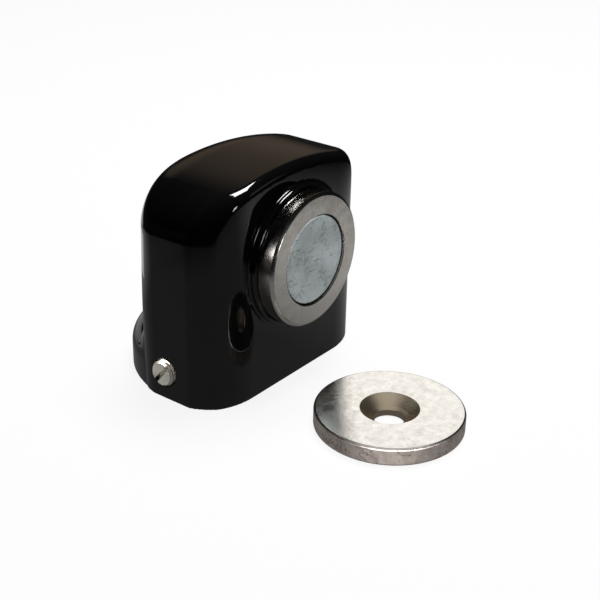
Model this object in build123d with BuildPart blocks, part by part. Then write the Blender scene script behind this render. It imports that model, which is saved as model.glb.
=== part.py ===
from build123d import *
from math import sqrt
import os

# Magnetic door stop: an arched floor block that holds a magnet cup, and its strike plate.
# Millimetres. Origin on the floor under the middle of the block, +Z up, magnet facing -Y.

# Block, outer form
body_width = 54.4
body_height = 51.4
face_reach = 13.06
turn_start = 4.2
turn_depth = 12.5
front_corner = 10.7
arch_radius = 68.5
shoulder_radius = 10.8
side_trim = 0.2
face_rim_round = 2.2

# Base flange behind the block
flange_height = 10.44
flange_rim_round = 4.0
flange_root_round = 1.2

# Hollow underside
wall = 4.0
web = 3.2

# Magnet, its cup and the collar round the cup
magnet_height = 30.0
magnet_radius = 10.0
magnet_thickness = 5.0
magnet_side_gap = 0.2
magnet_sink = 0.1
magnet_edge_round = 0.25
cup_radius = 15.0
cup_floor = 2.9
cup_stand_out = 3.9
cup_bevel = 0.5
cup_fit = 0.05
collar_width = 1.0
collar_stand_out = 1.75
collar_edge_round = 0.7

# Screw that pulls the cup against its seat
cup_screw_radius = 2.5
cup_screw_hole_gap = 0.25
cup_screw_head_radius = 4.75
cup_screw_head_height = 3.0
cup_screw_head_round = 1.2
cup_screw_tip_gap = 0.1
cross_length = 4.8
cross_width = 1.0
cross_depth = 1.6
thread_fit = 0.05

# Set screw that clamps the block to the plate
set_screw_radius = 3.0
set_screw_y = 1.5
set_screw_height = 6.5
set_screw_stand_out = 1.0
set_screw_end_chamfer = 0.4
set_screw_point = 1.2
slot_width = 1.0
slot_depth = 1.7

# Mounting plate under the block
plate_fit = 0.25
plate_thickness = 4.0
cheek_thickness = 3.5
cheek_length = 12.0
cheek_top_margin = 1.0
cheek_corner_round = 2.0
screw_seat_depth = 0.75
fixing_spacing = 22.0
fixing_radius = 2.25
fixing_head_radius = 4.5
countersink_angle = 90.0

# Strike plate that is screwed to the door, lying on the floor beside the block
strike_radius = 16.3
strike_thickness = 4.0
strike_edge_round = 0.5
strike_x = -4.62
strike_y = -42.86
strike_sink_radius = 6.45
strike_sink_step_radius = 4.3
strike_sink_step_drop = 0.35
strike_hole_radius = 3.35

# Places that follow from the sizes
half_width = body_width / 2
face_y = -face_reach
collar_y = face_y - collar_stand_out
cup_front_y = collar_y - cup_stand_out
cup_length = magnet_sink + magnet_thickness + cup_floor
cup_back_y = cup_front_y + cup_length
pad_y = cup_back_y + web
collar_radius = cup_radius + cup_fit + collar_width
recess_radius = magnet_radius + magnet_side_gap
recess_depth = magnet_thickness + magnet_sink
cavity_half_width = half_width - wall
plate_half_width = cavity_half_width - plate_fit
set_screw_outer_x = half_width + set_screw_stand_out
set_screw_tip_x = plate_half_width - screw_seat_depth
set_screw_length = set_screw_outer_x - set_screw_tip_x
cheek_height = set_screw_height + set_screw_radius + cheek_top_margin
cheek_x = plate_half_width - cheek_thickness / 2


def plane_across(y):
    """The upright plane at this y, facing the door, centred on the magnet's axis."""
    return Plane(origin=(0, y, magnet_height), x_dir=(1, 0, 0), z_dir=(0, -1, 0))


def plane_at_side(x):
    """The upright plane at this x, facing out to the left, centred on the set screw's axis."""
    return Plane(origin=(-x, set_screw_y, set_screw_height), x_dir=(0, 1, 0), z_dir=(-1, 0, 0))


def arched_form(inset):
    """The block's form, each surface drawn in by the inset: an arch that runs back from the face
    between two rounded corners, and is closed behind by half a turn of the same arch. The turn is
    round when it is drawn, and then the whole is squeezed from front to back."""
    side = half_width - inset
    top = body_height - inset
    crown_radius = arch_radius - inset
    eaves = top - crown_radius + sqrt(crown_radius**2 - side**2)
    run = face_reach + turn_start - inset
    squeeze = (turn_depth - inset) / side
    with BuildPart() as arch:
        with BuildSketch(Plane.XZ) as outline:
            with BuildLine():
                ThreePointArc((-side, eaves), (0, top), (side, eaves))
                Line((side, eaves), (side, 0))
                Line((side, 0), (-side, 0))
                Line((-side, 0), (-side, eaves))
            make_face()
            fillet(vertices().group_by(Axis.Y)[-1], shoulder_radius - inset)
        extrude(amount=run / squeeze)
        with BuildSketch(Plane.XZ):
            add(outline.sketch_local)
            split(bisect_by=Plane.YZ, keep=Keep.TOP)
        revolve(axis=Axis.Z, revolution_arc=180)
        scale(by=(1, squeeze, 1))
    with BuildPart() as form:
        with Locations((0, turn_start, 0)):
            add(arch.part)
        with BuildSketch():
            with Locations((0, turn_start)):
                Rectangle(2 * (side + side_trim), 2 * run)
            fillet(vertices().group_by(Axis.Y)[0], front_corner - inset)
        extrude(amount=body_height, mode=Mode.INTERSECT)
    return form.part


def base_semicircle(radius, height):
    """The round back of the base, from the middle of the block to the rear."""
    with BuildPart() as base:
        with BuildSketch():
            with BuildLine():
                ThreePointArc((radius, 0), (0, radius), (-radius, 0))
                Line((-radius, 0), (radius, 0))
            make_face()
        extrude(amount=height)
    return base.part


# Flange behind the block, with its top edge rounded before it joins the block
with BuildPart() as flange:
    add(base_semicircle(half_width, flange_height))
    flange_top = faces().sort_by(Axis.Z)[-1]
    fillet(flange_top.edges().sort_by(Axis.Y)[-1], flange_rim_round)

# Block with its two rounded rims, collar, hollow and screw holes
with BuildPart() as body:
    add(arched_form(0))
    face_edges = faces().sort_by(Axis.Y)[0].edges()
    fillet(face_edges.sort_by(Axis.Z)[-1], face_rim_round)
    add(flange.part)
    ledge_edges = edges().filter_by_position(Axis.Z, flange_height, flange_height)
    fillet(ledge_edges.sort_by(Axis.Y)[0], flange_root_round)
    with BuildSketch(plane_across(face_y)):
        Circle(collar_radius)
    extrude(amount=collar_stand_out)
    collar_rim = faces().sort_by(Axis.Y)[0].edges()
    fillet(collar_rim, collar_edge_round)
    add(arched_form(wall), mode=Mode.SUBTRACT)
    add(base_semicircle(cavity_half_width, flange_height - wall), mode=Mode.SUBTRACT)
    with BuildSketch(plane_across(face_y)):
        Circle(cup_radius + wall)
    extrude(amount=face_y - pad_y)
    with BuildSketch(plane_across(cup_back_y)):
        Circle(cup_radius + cup_fit)
    extrude(amount=cup_length, mode=Mode.SUBTRACT)
    with BuildSketch(plane_across(pad_y)):
        Circle(cup_screw_radius + cup_screw_hole_gap)
    extrude(amount=cup_length, mode=Mode.SUBTRACT)
    with BuildSketch(plane_at_side(cavity_half_width - wall)):
        Circle(set_screw_radius + thread_fit)
    extrude(amount=wall + wall, mode=Mode.SUBTRACT)
body.part.label = "body"

# Turned steel cup
with BuildPart() as magnet_cup:
    with BuildSketch(plane_across(cup_back_y)):
        Circle(cup_radius)
    extrude(amount=cup_length)
    with BuildSketch(plane_across(cup_back_y - cup_floor)):
        Circle(recess_radius)
    extrude(amount=recess_depth, mode=Mode.SUBTRACT)
    with BuildSketch(plane_across(cup_back_y)):
        Circle(cup_screw_radius + thread_fit)
    extrude(amount=cup_floor, mode=Mode.SUBTRACT)
    rim_edges = edges().filter_by(GeomType.CIRCLE).group_by(Axis.Y)[0]
    chamfer(rim_edges.sort_by(SortBy.RADIUS)[-1], cup_bevel)
magnet_cup.part.label = "magnet_cup"

# Disc magnet on the floor of the cup
with BuildPart() as magnet:
    with BuildSketch(plane_across(cup_back_y - cup_floor)):
        Circle(magnet_radius)
    extrude(amount=magnet_thickness)
    fillet(edges().filter_by(GeomType.CIRCLE), magnet_edge_round)
magnet.part.label = "magnet"

# Pan-head screw from inside the block into the cup
with BuildPart() as cup_screw:
    with BuildSketch(plane_across(pad_y + cup_screw_head_height)):
        Circle(cup_screw_head_radius)
    extrude(amount=cup_screw_head_height)
    fillet(edges().filter_by(GeomType.CIRCLE).sort_by(Axis.Y)[-1], cup_screw_head_round)
    with BuildSketch(plane_across(pad_y + cup_screw_head_height)):
        Rectangle(cross_length, cross_width)
        Rectangle(cross_width, cross_length)
    extrude(amount=cross_depth, mode=Mode.SUBTRACT)
    with BuildSketch(plane_across(pad_y)):
        Circle(cup_screw_radius)
    extrude(amount=web + cup_floor - cup_screw_tip_gap)
cup_screw.part.label = "cup_screw"

# Slotted set screw through the left wall
with BuildPart() as set_screw:
    with BuildSketch(plane_at_side(set_screw_tip_x)):
        Circle(set_screw_radius)
    extrude(amount=set_screw_length)
    ends = edges().filter_by(GeomType.CIRCLE).sort_by(Axis.X)
    chamfer(ends[0], set_screw_end_chamfer)
    chamfer(ends[-1], length=screw_seat_depth, length2=set_screw_point)
    with BuildSketch(plane_at_side(set_screw_outer_x - slot_depth)):
        Rectangle(2 * set_screw_radius, slot_width)
    extrude(amount=slot_depth, mode=Mode.SUBTRACT)
set_screw.part.label = "set_screw"

# Two cheeks that stand on the mounting plate, where the set screw bears
with BuildPart() as cheeks:
    add(arched_form(wall + plate_fit))
    with BuildSketch():
        with Locations((cheek_x, set_screw_y), (-cheek_x, set_screw_y)):
            Rectangle(cheek_thickness, cheek_length)
    extrude(amount=cheek_height, mode=Mode.INTERSECT)
    fillet(edges().filter_by(Axis.X).group_by(Axis.Z)[-1], cheek_corner_round)

# Plate screwed to the floor, which the block drops over
with BuildPart() as mounting_plate:
    add(arched_form(wall + plate_fit))
    split(bisect_by=Plane.XY.offset(plate_thickness), keep=Keep.BOTTOM)
    add(base_semicircle(plate_half_width, plate_thickness))
    add(cheeks.part)
    with BuildSketch(plane_at_side(set_screw_tip_x)):
        Circle(set_screw_radius + thread_fit)
    extrude(amount=screw_seat_depth + plate_fit, mode=Mode.SUBTRACT)
    with Locations(Plane.XY.offset(plate_thickness)):
        with GridLocations(fixing_spacing, 0, 2, 1):
            CounterSinkHole(fixing_radius, fixing_head_radius, counter_sink_angle=countersink_angle)
mounting_plate.part.label = "mounting_plate"

# Round strike plate with a stepped countersink
with BuildPart() as strike_plate:
    with BuildSketch(Plane.XZ):
        with BuildLine():
            sink_bottom = strike_thickness - (strike_sink_radius - strike_sink_step_radius)
            hole_top = sink_bottom - strike_sink_step_drop
            Polyline(
                (strike_hole_radius, 0),
                (strike_radius, 0),
                (strike_radius, strike_thickness),
                (strike_sink_radius, strike_thickness),
                (strike_sink_step_radius, sink_bottom),
                (strike_hole_radius, hole_top),
                close=True,
            )
        make_face()
    revolve(axis=Axis.Z)
    outer_rims = edges().filter_by(GeomType.CIRCLE).filter_by(lambda rim: rim.radius > strike_sink_radius)
    fillet(outer_rims, strike_edge_round)
strike_plate.part = strike_plate.part.moved(Location((strike_x, strike_y, 0)))
strike_plate.part.label = "strike_plate"

os.makedirs("parts", exist_ok=True)
for piece in (body, magnet_cup, magnet, cup_screw, set_screw, mounting_plate, strike_plate):
    export_step(piece.part, f"parts/{piece.part.label}.step")
    print(piece.part.label, len(piece.part.solids()), round(piece.part.volume, 1), piece.part.is_valid)
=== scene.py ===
from math import cos, radians, sin, sqrt, tau

import bpy
import numpy as np
from mathutils import Matrix, Vector


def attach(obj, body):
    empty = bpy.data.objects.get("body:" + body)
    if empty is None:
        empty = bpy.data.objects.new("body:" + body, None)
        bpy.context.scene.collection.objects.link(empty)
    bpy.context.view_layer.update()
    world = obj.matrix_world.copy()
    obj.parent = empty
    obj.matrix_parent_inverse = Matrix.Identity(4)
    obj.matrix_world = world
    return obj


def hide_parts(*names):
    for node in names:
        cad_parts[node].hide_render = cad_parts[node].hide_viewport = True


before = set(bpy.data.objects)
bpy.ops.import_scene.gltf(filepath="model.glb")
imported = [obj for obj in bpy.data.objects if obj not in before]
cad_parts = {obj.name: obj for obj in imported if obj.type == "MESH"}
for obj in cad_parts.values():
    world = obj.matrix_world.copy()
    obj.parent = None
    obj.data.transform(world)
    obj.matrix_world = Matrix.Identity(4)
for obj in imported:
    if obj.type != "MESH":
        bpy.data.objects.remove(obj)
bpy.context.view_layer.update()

# Sizes of the door stop in millimetres, in the frame's axes: floor at 0, magnet facing -Y
MM = 0.001

# Block, outer form
half_width = 27.2
body_height = 51.2
face_y = -13.5
corner_across = 12.2
corner_along = 8.6
corner_ease = 2.5
arch_radius = 74.0
shoulder_radius = 10.8
turn_start = 4.2
turn_depth_low = 13.7
turn_depth_high = 12.3
turn_low = 16.0
turn_high = 46.0
face_rim_round = 2.2

# Base flange behind the block
flange_height = 9.8
flange_rim_round = 4.2
flange_root_round = 2.2

# Hollow underside and its edges
wall = 4.0
web = 3.2
edge_ease = 0.3
hole_ease = 0.12

# Magnet, its cup and the collar round the cup
magnet_height = 30.0
magnet_radius = 10.0
magnet_thickness = 5.0
magnet_sink = 0.35
magnet_edge_round = 0.3
recess_radius = 10.35
cup_radius = 15.2
cup_floor = 2.65
cup_bevel = 0.5
cup_edge_round = 0.3
cup_rim_set_in = 0.25
cup_fit = 0.05
cup_stand_out = 3.9
collar_radius = 16.2
collar_stand_out = 1.5
collar_edge_round = 0.7
collar_root_round = 0.5
cup_screw_hole_radius = 2.75
cup_screw_thread_radius = 2.55

# Set screw
set_screw_radius = 3.0
set_screw_y = 1.5
set_screw_height = 6.5
set_screw_stand_out = 1.0
set_screw_length = 6.0
set_screw_end_chamfer = 0.4
set_screw_point = 1.2
set_screw_point_length = 0.75
slot_width = 1.0
slot_depth = 1.7
slot_turn = radians(50)
thread_pitch = 1.0
thread_depth = 0.5
thread_flat = 0.1
thread_fit = 0.05
hole_mouth_chamfer = 0.35

# Strike plate
strike_radius = 16.3
strike_thickness = 4.1
strike_edge_round = 0.55
strike_centre = (-4.62, -42.86)
strike_sink_radius = 6.45
strike_sink_step_radius = 4.3
strike_sink_step_drop = 0.35
strike_hole_radius = 3.35
strike_sink_ease = 0.12
strike_hole_ease = 0.15
strike_ring_pitch = 0.45

# Places that follow from the sizes
collar_y = face_y - collar_stand_out
cup_front_y = collar_y - cup_stand_out
cup_length = magnet_sink + magnet_thickness + cup_floor
cup_back_y = cup_front_y + cup_length
pad_y = cup_back_y + web


# Camera, at the photograph's place
def make_camera():
    azimuth = radians(52.786)
    elevation = radians(25.996)
    roll = radians(1.197)
    place = Vector((-0.19174, -0.16033, 0.13648))
    back = Vector((-sin(azimuth) * cos(elevation), -cos(azimuth) * cos(elevation), sin(elevation)))
    level = Vector((cos(azimuth), -sin(azimuth), 0))
    upright = back.cross(level)
    right = cos(roll) * level + sin(roll) * upright
    up = -sin(roll) * level + cos(roll) * upright
    data = bpy.data.cameras.new("camera")
    data.sensor_width = 36.0
    data.lens = 72.0
    data.clip_start = 0.01
    camera = bpy.data.objects.new("camera", data)
    bpy.context.scene.collection.objects.link(camera)
    axes = Matrix((right, up, back)).transposed()
    camera.matrix_world = Matrix.Translation(place) @ axes.to_4x4()
    bpy.context.scene.camera = camera


# Distance fields, negative inside a form
def round_max(a, b, r):
    """What two forms share, with a round of radius r along the edge where they meet."""
    return np.minimum(np.maximum(a, b), -r) + np.hypot(np.maximum(a + r, 0), np.maximum(b + r, 0))


def round_min(a, b, r):
    """Two forms together, with a hollow round of radius r between them."""
    return np.maximum(np.minimum(a, b), r) - np.hypot(np.maximum(r - a, 0), np.maximum(r - b, 0))


def ramp(value, low, high):
    """A smooth step from 0 at the low value to 1 at the high one."""
    t = np.clip((value - low) / (high - low), 0, 1)
    return t * t * (3 - 2 * t)


def half_disc(x, y, radius):
    """The round back of the base, from the middle of the block to the rear."""
    return np.maximum(np.hypot(x, y) - radius, -y)


def corner_shares(x, y, inset):
    """How far a point lies into a front corner, in shares of the corner's ellipse: across the
    block, along it, and straight out."""
    across = np.maximum(np.abs(x) - (half_width - corner_across), 0) / (corner_across - inset)
    along = np.maximum(face_y + corner_along - y, 0) / (corner_along - inset)
    return across, along, np.hypot(across, along)


def arch_and_walls(x, y, z, inset):
    """Distances to the arch with its turned back, and to the face with its two rounded corners."""
    side = half_width - inset
    lean = (turn_depth_high - turn_depth_low) * ramp(z, turn_low, turn_high)
    depth = turn_depth_low + lean - inset
    behind = np.maximum(y - turn_start, 0) * side / depth
    across = np.hypot(x, behind)
    crown_z = body_height - arch_radius
    bend = shoulder_radius - inset
    run = side - bend
    rise = sqrt((arch_radius - shoulder_radius)**2 - run**2)
    crown = np.hypot(across, z - crown_z) - (arch_radius - inset)
    shoulder = np.hypot(across - run, z - crown_z - rise) - bend
    round_part = (z > crown_z + rise) & (across * rise > run * (z - crown_z))
    arch = np.where(round_part, shoulder, np.maximum(crown, across - side))
    across_share, along_share, reach = corner_shares(x, y, inset)
    slope = np.hypot(across_share / (corner_across - inset), along_share / (corner_along - inset))
    corner = (reach - 1) * reach / np.maximum(slope, 1e-9)
    plain = np.maximum(face_y + inset - y, np.abs(x) - side)
    walls = np.where((across_share > 0) & (along_share > 0), corner, plain)
    return arch, walls


def body_outside(x, y, z):
    """The outer form of the block, its flange and its collar. The round of the block's rim fades
    out along the sides, and is at its widest in the corners."""
    arch, walls = arch_and_walls(x, y, z, 0.0)
    across_share, along_share, _ = corner_shares(x, y, 0.0)
    sideways = (across_share / corner_across)**2
    forward = (along_share / corner_along)**2
    frontness = forward / np.maximum(sideways + forward, 1e-9)
    rim = face_rim_round * frontness + corner_ease * 4 * frontness * (1 - frontness)
    block = round_max(arch, walls, rim)
    skirt = round_min(block, z - flange_height, flange_root_round)
    flange = round_max(half_disc(x, y, half_width), skirt, flange_rim_round)
    form = np.minimum(block, flange)
    from_axis = np.hypot(x, z - magnet_height)
    collar = round_max(from_axis - collar_radius, collar_y - y, collar_edge_round)
    collar = np.maximum(collar, y - face_y / 2)
    return round_min(form, collar, collar_root_round)


def body_field(x, y, z):
    """The whole casting: its outer form less its hollow, the cup's seat and the two screw holes."""
    arch, walls = arch_and_walls(x, y, z, wall)
    low_hollow = np.maximum(half_disc(x, y, half_width - wall), z - (flange_height - wall))
    hollow = np.minimum(np.maximum(arch, walls), low_hollow)
    from_axis = np.hypot(x, z - magnet_height)
    pad = np.maximum(from_axis - (cup_radius + wall), y - pad_y)
    hollow = round_max(hollow, -pad, edge_ease)
    seat = np.maximum(from_axis - (cup_radius + cup_fit), y - cup_back_y)
    cup_screw_hole = np.maximum(from_axis - cup_screw_hole_radius, y)
    from_screw = np.hypot(y - set_screw_y, z - set_screw_height)
    mouth = np.maximum(-half_width + hole_mouth_chamfer - x, 0)
    set_screw_hole = np.maximum(from_screw - set_screw_radius - thread_fit - mouth, x)
    holes = np.minimum(np.minimum(seat, cup_screw_hole), set_screw_hole)
    form = round_max(body_outside(x, y, z), -hollow, edge_ease)
    form = round_max(form, -holes, hole_ease)
    return round_max(form, -z, edge_ease)


def slopes(field, points, step=0.02):
    """Gradient of a field at an array of points."""
    parts = []
    for axis in range(3):
        shift = np.zeros(3)
        shift[axis] = step
        ahead = points + shift
        behind = points - shift
        parts.append((field(*ahead.T) - field(*behind.T)) / (2 * step))
    return np.stack(parts, axis=1)


def settle(field, points, rounds):
    """Moves points onto the surface where the field is zero, a short step at a time."""
    longest_step = 0.4
    least_slope = 0.05
    for _ in range(rounds):
        gradient = slopes(field, points)
        value = field(*points.T)
        size = np.maximum((gradient**2).sum(1), least_slope)
        step = np.clip(value / size, -longest_step, longest_step)
        points = points - step[:, None] * gradient
    return points


def cells_beside(places, u, v, du, dv):
    """The grid cells that lie beside some grid edges, moved by du and dv along the axes u and v."""
    cells = places.copy()
    cells[:, u] += du
    cells[:, v] += dv
    return tuple(cells.T)


def skin_of(field, xs, ys, zs):
    """Quads over the zero surface of a field sampled on a grid: one point in each cell that it
    crosses, and one quad round each grid edge that it crosses."""
    value = field(xs[:, None, None], ys[None, :, None], zs[None, None, :])
    inside = value < 0
    grids = (xs, ys, zs)
    shape = tuple(len(g) - 1 for g in grids)
    total = np.zeros(shape + (3,))
    count = np.zeros(shape)
    around = ((-1, -1), (0, -1), (0, 0), (-1, 0))
    edges = []
    for axis in range(3):
        low = [slice(None)] * 3
        high = [slice(None)] * 3
        low[axis] = slice(None, -1)
        high[axis] = slice(1, None)
        where = np.argwhere(inside[tuple(low)] != inside[tuple(high)])
        value_low = value[tuple(low)][tuple(where.T)]
        value_high = value[tuple(high)][tuple(where.T)]
        share = value_low / (value_low - value_high)
        point = np.stack([grids[k][where[:, k]] for k in range(3)], axis=1)
        point[:, axis] += share * (grids[axis][where[:, axis] + 1] - grids[axis][where[:, axis]])
        u, v = [k for k in range(3) if k != axis]
        for du, dv in around:
            cells = cells_beside(where, u, v, du, dv)
            np.add.at(total, cells, point)
            np.add.at(count, cells, 1)
        edges.append((axis, u, v, where, value_low < 0))
    used = count > 0
    number = -np.ones(shape, int)
    number[used] = np.arange(used.sum())
    points = total[used] / count[used][:, None]
    quads = []
    for axis, u, v, where, outward in edges:
        quad = np.stack([number[cells_beside(where, u, v, du, dv)] for du, dv in around], axis=1)
        turned = outward if axis == 1 else ~outward
        quad[turned] = quad[turned][:, ::-1]
        quads.append(quad)
    return points, np.concatenate(quads)


# Meshes
def new_piece(name, points, faces):
    """A smooth-shaded object from points in millimetres."""
    mesh = bpy.data.meshes.new(name)
    mesh.from_pydata((np.asarray(points) * MM).tolist(), [], [list(f) for f in faces])
    mesh.validate()
    mesh.polygons.foreach_set("use_smooth", [True] * len(mesh.polygons))
    piece = bpy.data.objects.new(name, mesh)
    bpy.context.scene.collection.objects.link(piece)
    return piece


def spaced(low, high, step):
    """Evenly spaced values from low to high, about a step apart."""
    return np.linspace(low, high, int(round((high - low) / step)) + 1)


def two_spans(low, middle, high, low_step, high_step):
    """Grid lines from low to high, with another step from the middle on."""
    return np.concatenate([spaced(low, middle, low_step)[:-1], spaced(middle, high, high_step)])


def make_body():
    """The casting, on a grid that is finer at the face and the crown. A small shift of the grid
    keeps its points off the flat faces."""
    step, face_step, crown_step = 0.5, 0.35, 0.4
    face_depth = 3.3
    crown_from = 36.0
    xs = spaced(-half_width - 1.3, half_width + 1.3, step) + 0.013
    ys = two_spans(collar_y - 0.7, face_y + face_depth, half_width + 1.0, face_step, step) + 0.017
    zs = two_spans(-0.9, crown_from, body_height + 1.1, step, crown_step) + 0.021
    points, faces = skin_of(body_field, xs, ys, zs)
    points = settle(body_field, points, 6)
    piece = new_piece("body_casting", points, faces)
    normals = slopes(body_field, points)
    normals /= np.linalg.norm(normals, axis=1)[:, None]
    piece.data.normals_split_custom_set_from_vertices(normals.tolist())
    return piece


def arc_points(centre, radius, start, end, count):
    """Points along an arc, from the start angle to the end angle in degrees."""
    angles = np.radians(np.linspace(start, end, count))
    return [(centre[0] + radius * cos(a), centre[1] + radius * sin(a)) for a in angles]


def lathe(name, profile, place, axis, segments=192, closed=True):
    """Turns a profile of (radius, height) points round an axis through a place."""
    axis = Vector(axis).normalized()
    side = axis.orthogonal().normalized()
    other = axis.cross(side)
    points, faces, rows = [], [], []
    for radius, height in profile:
        centre = Vector(place) + axis * height
        columns = segments if radius > 0 else 1
        rows.append(range(len(points), len(points) + columns))
        for k in range(columns):
            a = tau * k / segments
            points.append(centre + radius * (cos(a) * side + sin(a) * other))
    pairs = zip(rows, rows[1:] + rows[:1]) if closed else zip(rows, rows[1:])
    for low, high in pairs:
        for k in range(segments):
            n = (k + 1) % segments
            if len(low) == 1:
                faces.append((low[0], high[n], high[k]))
            elif len(high) == 1:
                faces.append((low[k], low[n], high[0]))
            else:
                faces.append((low[k], low[n], high[n], high[k]))
    piece = new_piece(name, points, faces)
    smooth_flats(piece, radians(35))
    return piece


def smooth_flats(piece, angle):
    """Smooth shading that keeps flats flat, and corners sharper than the angle sharp."""
    for other in bpy.context.selected_objects:
        other.select_set(False)
    piece.select_set(True)
    bpy.context.view_layer.objects.active = piece
    bpy.ops.object.shade_smooth_by_angle(angle=angle)
    modifier = piece.modifiers.new("flats", "WEIGHTED_NORMAL")
    modifier.keep_sharp = True
    modifier.weight = 90


def make_cup():
    """The turned cup, with its bevelled rim and the recess for the magnet."""
    r, h, b, e = cup_radius, cup_length, cup_bevel, cup_edge_round
    profile = [
        (cup_screw_thread_radius, 0),
        (r - e, 0),
        (r, e),
        (r, h - b - e / 2),
        *arc_points((r - e, h - b - e / 2), e, 0, 40, 5),
        *arc_points((r - b - cup_rim_set_in, h - e), e, 50, 90, 5),
        (recess_radius + e / 2, h),
        (recess_radius, h - e / 2),
        (recess_radius, cup_floor),
        (cup_screw_thread_radius, cup_floor),
    ]
    return lathe("cup_turned", profile, (0, cup_back_y, magnet_height), (0, -1, 0), segments=256)


def make_magnet():
    """The disc magnet, with eased rims."""
    r, h, e = magnet_radius, magnet_thickness, magnet_edge_round
    profile = [
        (0, 0),
        *arc_points((r - e, e), e, -90, 0, 5),
        *arc_points((r - e, h - e), e, 0, 90, 6),
        (0, h),
    ]
    place = (0, cup_back_y - cup_floor, magnet_height)
    return lathe("magnet_disc", profile, place, (0, -1, 0), closed=False)


def make_strike():
    """The strike plate, with its countersink, the step at the bottom of it and the hole."""
    r, h, e = strike_radius, strike_thickness, strike_edge_round
    sink_bottom = h - (strike_sink_radius - strike_sink_step_radius)
    hole_top = sink_bottom - strike_sink_step_drop
    ease = strike_sink_ease
    profile = [
        (strike_hole_radius, strike_hole_ease),
        (strike_hole_radius + strike_hole_ease, 0),
        *arc_points((r - e, e), e, -90, 0, 8),
        *arc_points((r - e, h - e), e, 0, 90, 10),
        (strike_sink_radius + ease, h),
        (strike_sink_radius - ease, h - 1.2 * ease),
        (strike_sink_step_radius + ease, sink_bottom + ease),
        (strike_sink_step_radius - ease, sink_bottom - 0.4 * ease),
        (strike_hole_radius + ease, hole_top),
        (strike_hole_radius, hole_top - ease),
    ]
    return lathe("strike_disc", profile, (*strike_centre, 0), (0, 0, 1), segments=256)


def thread_radius(turn, height):
    """Radius of the set screw at a share of a turn and a height above its point."""
    phase = (height / thread_pitch - turn) % 1.0
    from_crest = abs(phase - 0.5) * 2
    flank = (from_crest - thread_flat) / (1 - 2 * thread_flat)
    radius = set_screw_radius - thread_depth * min(max(flank, 0), 1)
    end = set_screw_radius - set_screw_end_chamfer + (set_screw_length - height)
    point = set_screw_radius - set_screw_point + height * set_screw_point / set_screw_point_length
    return min(radius, end, point)


def make_set_screw():
    """A threaded screw as rings that follow the thread, with a slot cut in its outer end."""
    rows, columns = 121, 96
    points, faces = [], []
    for height in np.linspace(0, set_screw_length, rows):
        for k in range(columns):
            radius = thread_radius(k / columns, height)
            a = tau * k / columns
            points.append((radius * cos(a), radius * sin(a), height))
    for start in range(0, (rows - 1) * columns, columns):
        for k in range(columns):
            n = (k + 1) % columns
            faces.append((start + k, start + n, start + columns + n, start + columns + k))
    faces.append(tuple(reversed(range(columns))))
    faces.append(tuple(range((rows - 1) * columns, rows * columns)))
    piece = new_piece("set_screw_threaded", points, faces)
    reach = set_screw_radius + 2
    slot_low = (-reach, -slot_width / 2, set_screw_length - slot_depth)
    slot_high = (reach, slot_width / 2, set_screw_length + 1)
    cut(piece, new_piece("slot_cutter", *box_mesh(slot_low, slot_high)))
    outer_end = -half_width - set_screw_stand_out
    place = Vector((outer_end + set_screw_length, set_screw_y, set_screw_height)) * MM
    outward = Matrix(((0, 0, -1), (-1, 0, 0), (0, 1, 0))).to_4x4()
    turned = outward @ Matrix.Rotation(slot_turn, 4, "Z")
    piece.data.transform(Matrix.Translation(place) @ turned)
    smooth_flats(piece, radians(28))
    return piece


def box_mesh(low, high):
    """Points and faces of a box between two corners."""
    ends = list(zip(low, high))
    points = [(x, y, z) for x in ends[0] for y in ends[1] for z in ends[2]]
    faces = [(0, 1, 3, 2), (4, 6, 7, 5), (0, 4, 5, 1), (2, 3, 7, 6), (0, 2, 6, 4), (1, 5, 7, 3)]
    return points, faces


def cut(piece, cutter):
    """Cuts one piece out of another, and deletes the one that cut."""
    modifier = piece.modifiers.new("cut", "BOOLEAN")
    modifier.object = cutter
    modifier.operation = "DIFFERENCE"
    modifier.solver = "EXACT"
    graph = bpy.context.evaluated_depsgraph_get()
    graph.update()
    mesh = bpy.data.meshes.new_from_object(piece.evaluated_get(graph))
    piece.modifiers.clear()
    piece.data = mesh
    bpy.data.objects.remove(cutter)


# Node materials
class Nodes:
    """A node tree, with short calls for the nodes that the finishes and the room use."""

    def __init__(self, tree):
        self.tree = tree

    def feed(self, socket, value):
        """Gives a socket a link from another node, a colour or a plain value."""
        if isinstance(value, bpy.types.NodeSocket):
            self.tree.links.new(value, socket)
        elif socket.type == "RGBA":
            socket.default_value = (*value, 1.0)
        else:
            socket.default_value = value

    def add(self, kind, output, inputs, **settings):
        """Adds a node, feeds its inputs, and gives back one of its outputs."""
        node = self.tree.nodes.new(kind)
        for key, value in settings.items():
            setattr(node, key, value)
        for name, value in inputs.items():
            self.feed(node.inputs[name], value)
        return node.outputs[output]

    def math(self, operation, *values):
        return self.add("ShaderNodeMath", "Value", dict(enumerate(values)), operation=operation)

    def vector(self, operation, *values):
        output = "Value" if operation in ("DOT_PRODUCT", "LENGTH") else "Vector"
        inputs = dict(enumerate(values))
        return self.add("ShaderNodeVectorMath", output, inputs, operation=operation)

    def map(self, value, low, high, to_low, to_high, interpolation="LINEAR"):
        """Carries a value from one range to another, and holds it there."""
        inputs = {
            "Value": value,
            "From Min": low,
            "From Max": high,
            "To Min": to_low,
            "To Max": to_high,
        }
        return self.add("ShaderNodeMapRange", "Result", inputs, interpolation_type=interpolation)

    def mix(self, share, a, b):
        inputs = {"Factor": share, "A": a, "B": b}
        return self.add("ShaderNodeMix", "Result", inputs, data_type="RGBA")


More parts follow.
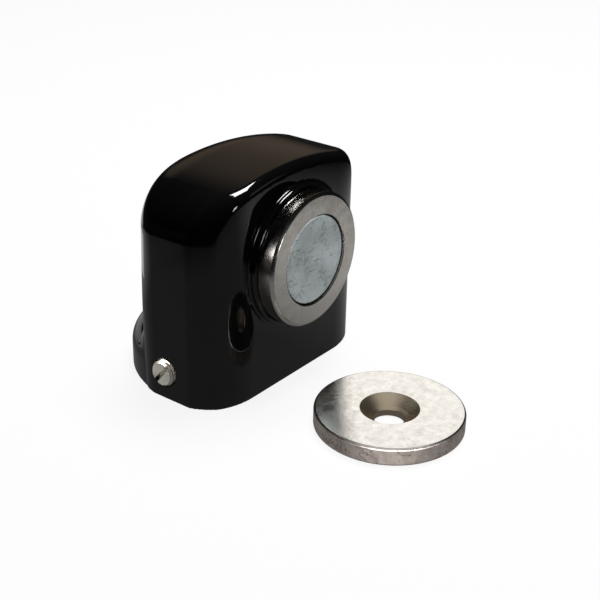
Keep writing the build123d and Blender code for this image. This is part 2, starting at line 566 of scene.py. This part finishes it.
class Paint(Nodes):
    """A material with its shader, and the textures of the finishes in millimetres."""

    def __init__(self, name, colour, metallic, roughness):
        self.material = bpy.data.materials.new(name)
        self.material.use_nodes = True
        super().__init__(self.material.node_tree)
        self.shader = self.tree.nodes["Principled BSDF"]
        self.set("Base Color", colour)
        self.set("Metallic", metallic)
        self.set("Roughness", roughness)
        self.place = self.add("ShaderNodeTexCoord", "Object", {})

    def set(self, name, value):
        self.feed(self.shader.inputs[name], value)

    def noise(self, scale, detail=4.0, roughness=0.5, stretch=(1, 1, 1)):
        """Noise over the object, its scale in cells per millimetre."""
        per_metre = tuple(s / MM for s in stretch)
        place = self.add("ShaderNodeMapping", "Vector", {"Vector": self.place, "Scale": per_metre})
        inputs = {"Vector": place, "Scale": scale, "Detail": detail, "Roughness": roughness}
        return self.add("ShaderNodeTexNoise", "Fac", inputs)

    def from_axis(self, centre, across):
        """Distance from a line through a point, measured only along the axes named by ones."""
        offset = self.vector("SUBTRACT", self.place, tuple(c * MM for c in centre))
        flat = self.vector("MULTIPLY", offset, tuple(a / MM for a in across))
        return self.vector("LENGTH", flat)

    def bump(self, height, strength, distance, below=None):
        inputs = {"Height": height, "Strength": strength, "Distance": distance * MM}
        if below is not None:
            inputs["Normal"] = below
        return self.add("ShaderNodeBump", "Normal", inputs)

    def finish(self, colour, roughness, normal):
        self.set("Base Color", colour)
        self.set("Roughness", roughness)
        self.set("Normal", normal)
        return self.material


def black_paint():
    """Gloss black paint with a slight peel."""
    paint = Paint("black_gloss_paint", (0.003, 0.003, 0.0032), 0.0, 0.1)
    paint.set("IOR", 1.56)
    cloud = paint.map(paint.noise(0.06, 3.0), 0.35, 0.7, 0.0, 1.0)
    colour = paint.mix(cloud, (0.002, 0.002, 0.0022), (0.004, 0.0038, 0.004))
    roughness = paint.map(paint.noise(0.15, 3.0), 0.3, 0.7, 0.035, 0.07)
    peel = paint.bump(paint.noise(0.9, 2.0), 0.012, 0.05)
    return paint.finish(colour, roughness, peel)


def nickel(name, tone, dark, roughness_low, roughness_high, stain):
    """Nickel with darker clouds in it, which are rougher."""
    paint = Paint(name, tone, 1.0, 0.3)
    mottle = paint.noise(0.55, 6.0, 0.65)
    fine = paint.noise(4.0, 4.0, 0.6)
    coarse_part = paint.math("MULTIPLY", mottle, 0.65)
    fine_part = paint.math("MULTIPLY", fine, 0.35)
    mixed = paint.math("ADD", coarse_part, fine_part)
    share = paint.map(mixed, 0.4, 0.62, 0.0, stain)
    colour = paint.mix(share, tone, dark)
    roughness = paint.map(mixed, 0.35, 0.65, roughness_low, roughness_high)
    normal = paint.bump(mottle, 0.1, 0.08)
    normal = paint.bump(fine, 0.12, 0.03, normal)
    return paint.finish(colour, roughness, normal)


def plate_nickel():
    """Nickel plate with a grained top, a stained warm side and turned rings in its countersink,
    which is painted tan and darker as a painted reflection and painted shade.
    """
    paint = Paint("nickel_plate", (0.84, 0.82, 0.78), 1.0, 0.25)
    radius = paint.from_axis((*strike_centre, 0), (1, 1, 0))
    side = paint.map(radius, strike_radius - 0.35, strike_radius - 0.1, 0.0, 1.0)
    sink = paint.map(radius, strike_sink_radius - 0.05, strike_sink_radius + 0.1, 1.0, 0.0)
    mottle = paint.noise(0.5, 6.0, 0.6)
    grain = paint.noise(2.6, 5.0, 0.65)
    top = paint.mix(paint.map(mottle, 0.35, 0.65, 0.0, 1.0), (0.9, 0.89, 0.86), (0.81, 0.8, 0.75))
    warm = paint.mix(paint.map(mottle, 0.4, 0.6, 0.0, 1.0), (0.86, 0.77, 0.7), (0.68, 0.58, 0.52))
    from_outline = paint.math("ABSOLUTE", paint.math("SUBTRACT", paint.noise(0.22, 3.0, 0.6), 0.56))
    outline = paint.map(from_outline, 0.004, 0.02, 0.75, 0.0)
    stain = paint.math("MULTIPLY", outline, paint.map(grain, 0.4, 0.55, 0.3, 1.0))
    warm = paint.mix(stain, warm, (0.16, 0.11, 0.08))
    colour = paint.mix(side, top, warm)
    # Painted reflection and shade: the countersink is coloured tan and darker than the top,
    # standing in for the brown wall it reflects and the shade in the recess.
    colour = paint.mix(sink, colour, (0.6, 0.5, 0.37))
    pits = paint.map(paint.noise(1.5, 3.0, 0.7), 0.62, 0.7, 0.0, 0.5)
    colour = paint.mix(pits, colour, (0.4, 0.36, 0.3))
    polish = paint.map(mottle, 0.35, 0.65, 0.15, 0.25)
    roughness = paint.mix(paint.math("MAXIMUM", side, sink), polish, (0.4, 0.4, 0.4))
    rings = paint.math("SINE", paint.math("MULTIPLY", radius, tau / strike_ring_pitch))
    normal = paint.bump(paint.math("MULTIPLY", rings, sink), 0.2, 0.02)
    normal = paint.bump(mottle, 0.12, 0.12, normal)
    normal = paint.bump(grain, 0.34, 0.045, normal)
    return paint.finish(colour, roughness, normal)


def magnet_zinc():
    """Scuffed zinc with darker smudges and scratches across it."""
    paint = Paint("magnet_zinc", (0.6, 0.66, 0.68), 0.75, 0.5)
    clouds = paint.map(paint.noise(0.12, 5.0, 0.6), 0.38, 0.66, 0.0, 1.0)
    smudge = paint.map(paint.noise(0.2, 2.0), 0.48, 0.64, 0.0, 1.0)
    specks = paint.noise(1.3, 6.0, 0.75)
    across = paint.noise(0.8, 4.0, 0.55, (0.3, 1.0, 3.0))
    down = paint.noise(0.8, 4.0, 0.55, (2.6, 1.0, 0.35))
    colour = paint.mix(clouds, (0.72, 0.79, 0.8), (0.5, 0.56, 0.56))
    dirt = paint.math("MULTIPLY", smudge, paint.map(specks, 0.46, 0.6, 0.0, 0.8))
    colour = paint.mix(dirt, colour, (0.22, 0.23, 0.23))
    lines_across = paint.map(across, 0.62, 0.68, 0.0, 0.7)
    lines_down = paint.map(down, 0.64, 0.7, 0.0, 0.7)
    lines = paint.math("MAXIMUM", lines_across, lines_down)
    colour = paint.mix(lines, colour, (0.16, 0.16, 0.16))
    roughness = paint.map(specks, 0.3, 0.7, 0.42, 0.62)
    normal = paint.bump(across, 0.25, 0.03)
    normal = paint.bump(specks, 0.3, 0.04, normal)
    return paint.finish(colour, roughness, normal)


def zinc_steel():
    """Zinc-plated steel, for the two solids inside the block."""
    paint = Paint("zinc_steel", (0.55, 0.56, 0.58), 1.0, 0.35)
    grain = paint.noise(0.8, 5.0, 0.6)
    share = paint.map(grain, 0.35, 0.65, 0.0, 1.0)
    colour = paint.mix(share, (0.5, 0.51, 0.54), (0.62, 0.62, 0.6))
    roughness = paint.map(grain, 0.3, 0.7, 0.28, 0.45)
    return paint.finish(colour, roughness, paint.bump(grain, 0.15, 0.04))


def floor_white():
    """A pale floor: white with its shadows to the camera. To reflections it glows with painted
    light
    and shade: a painted shadow dims it near the object, painted light grows to the right and to
    the back, it fades out far away, and a painted bright patch lies far behind."""
    paint = Paint("floor_white", (0.8, 0.8, 0.8), 0.0, 0.9)
    x = paint.add("ShaderNodeSeparateXYZ", "X", {"Vector": paint.place})
    y = paint.add("ShaderNodeSeparateXYZ", "Y", {"Vector": paint.place})
    # Painted light and shadow, seen only in reflections: an emission that stands in for the
    # window's light on the floor and the object's shadow on it.
    to_right = paint.map(x, 10 * MM, 55 * MM, 0.15, 0.38)
    to_back = paint.map(y, 50 * MM, 120 * MM, 0.14, 0.85)
    near = paint.map(paint.from_axis((12, -8, 0), (1, 1, 0)), 102, 142, 1.0, 0.02)
    behind = paint.map(paint.from_axis((35, 140, 0), (1, 1, 0)), 35, 60, 0.75, 0.0)
    painted_floor_light = paint.math("MULTIPLY", paint.math("MAXIMUM", to_right, to_back), near)
    painted_floor_light = paint.math("MAXIMUM", painted_floor_light, behind)
    seen = paint.add("ShaderNodeLightPath", "Is Camera Ray", {})
    tone = paint.mix(seen, painted_floor_light, (1.0, 1.0, 1.0))
    light = paint.add("ShaderNodeEmission", "Emission", {"Color": tone})
    inputs = {
        0: paint.map(seen, 0.0, 1.0, 1.0, 0.9),
        1: paint.shader.outputs["BSDF"],
        2: light,
    }
    surface = paint.add("ShaderNodeMixShader", "Shader", inputs)
    paint.feed(paint.tree.nodes["Material Output"].inputs["Surface"], surface)
    return paint.material


# Surroundings
def sky_patch(room, direction, azimuth, elevation, inner, outer, colour):
    """A soft round patch of light in the sky, centred on a bearing from +Y towards +X."""
    a, e = radians(azimuth), radians(elevation)
    centre = (sin(a) * cos(e), cos(a) * cos(e), sin(e))
    nearness = room.vector("DOT_PRODUCT", direction, centre)
    share = room.map(nearness, cos(radians(outer)), cos(radians(inner)), 0.0, 1.0, "SMOOTHSTEP")
    return room.vector("MULTIPLY", colour, share)


def make_world():
    """A dark room with a brown wall behind, which reflections show, and a white background."""
    world = bpy.data.worlds.new("studio")
    bpy.context.scene.world = world
    world.use_nodes = True
    room = Nodes(world.node_tree)
    direction = room.add("ShaderNodeTexCoord", "Generated", {})
    light = (0, 0, 0)
    # Bearing, height, full radius and outer radius in degrees, and colour
    for patch in (
        (50, 22, 8, 25, (0.185, 0.14, 0.1)),
        (142, 12, 3, 10, (0.25, 0.25, 0.25)),
        (0, 90, 0, 180, (0.009, 0.009, 0.01)),
    ):
        light = room.vector("ADD", light, sky_patch(room, direction, *patch))
    inputs = {
        0: room.add("ShaderNodeLightPath", "Is Camera Ray", {}),
        1: room.add("ShaderNodeBackground", "Background", {"Color": light}),
        2: room.add("ShaderNodeBackground", "Background", {"Color": (1, 1, 1)}),
    }
    shown = room.add("ShaderNodeMixShader", "Shader", inputs)
    room.feed(room.tree.nodes["World Output"].inputs["Surface"], shown)


def make_lamp(name, place, behind, size, power, *pieces, turn=0.0):
    """A rectangular lamp that shines away from the direction behind it, turned about that
    direction. It lights only the pieces given, or everything when none is."""
    data = bpy.data.lights.new(name, "AREA")
    data.shape = "RECTANGLE"
    data.size, data.size_y = size
    data.energy = power
    lamp = bpy.data.objects.new(name, data)
    bpy.context.scene.collection.objects.link(lamp)
    aim = Vector(behind).to_track_quat("Z", "Y").to_matrix().to_4x4()
    lamp.visible_camera = False
    lamp.matrix_world = Matrix.Translation(place) @ aim @ Matrix.Rotation(turn, 4, "Z")
    if pieces:
        lit = bpy.data.collections.new(name + "_pieces")
        for piece in pieces:
            lit.objects.link(piece)
        lamp.light_linking.receiver_collection = lit


def make_floor():
    """The pale floor, which belongs to the stage."""
    reach = 3000.0
    corners = [(-reach, -reach, 0), (reach, -reach, 0), (reach, reach, 0), (-reach, reach, 0)]
    floor = new_piece("floor", corners, [(0, 1, 2, 3)])
    floor.data.materials.append(floor_white())
    return floor


# Dressing
def dress(piece, material, node):
    """Gives a piece its material, and lets it stand for a node of the frame."""
    piece.data.materials.clear()
    piece.data.materials.append(material)
    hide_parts(node)
    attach(piece, "root")
    return piece


def coat_node(node, material):
    """Gives a node's own solid a material."""
    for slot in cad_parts[node].material_slots:
        slot.material = material


# Scene
bpy.context.scene.view_settings.view_transform = "Standard"
make_camera()
make_world()
floor = make_floor()
bright = nickel("bright_nickel", (0.78, 0.75, 0.7), (0.54, 0.48, 0.4), 0.14, 0.3, 0.4)
satin = nickel("satin_nickel", (0.84, 0.81, 0.73), (0.6, 0.54, 0.44), 0.3, 0.42, 0.5)
steel = zinc_steel()
body = dress(make_body(), black_paint(), "body")
cup = dress(make_cup(), bright, "magnet_cup")
magnet = dress(make_magnet(), magnet_zinc(), "magnet")
strike = dress(make_strike(), plate_nickel(), "strike_plate")
screw = dress(make_set_screw(), satin, "set_screw")
coat_node("cup_screw", steel)
coat_node("mounting_plate", steel)

# Lamps, with their places and sizes in metres and their power in watts
make_lamp("window", (0.16, 0.01, 0.6), (0, 0, 1), (0.25, 0.31), 5.0,
          body, magnet, screw, floor, turn=radians(-20))
make_lamp("door", (-0.05, -0.6, 0.1), (0, -1, 0), (0.1, 0.12), 0.4)
make_lamp("flange_card", (-0.009, 0.05, 0.0135), (0, 1, 0), (0.026, 0.012), 0.0006, body)
make_lamp("plate_card", (0.4, 0.17, 0.27), (0.88, 0.47, 0.5), (0.28, 0.24), 0.2, strike)
make_lamp("plate_above", (-0.03, -0.1, 0.5), (-0.1, -0.2, 1), (0.6, 0.6), 0.7, strike)
make_lamp("plate_front", (-0.325, -0.283, 0.06), (-0.8, -0.6, 0.14), (0.5, 0.13), 2.5, strike)
make_lamp("cup_card", (-0.32, 0.205, 0.167), (-0.8, 0.5, 0.34), (0.13, 0.11), 0.2, cup)
make_lamp("screw_card", (-0.36, 0.2, 0.1), (-0.8, 0.5, 0.2), (0.4, 0.3), 3.5, screw)
make_lamp("magnet_card", (0.2, -0.36, 0.2), (0.4, -0.8, 0.3), (0.4, 0.3), 0.8, magnet)
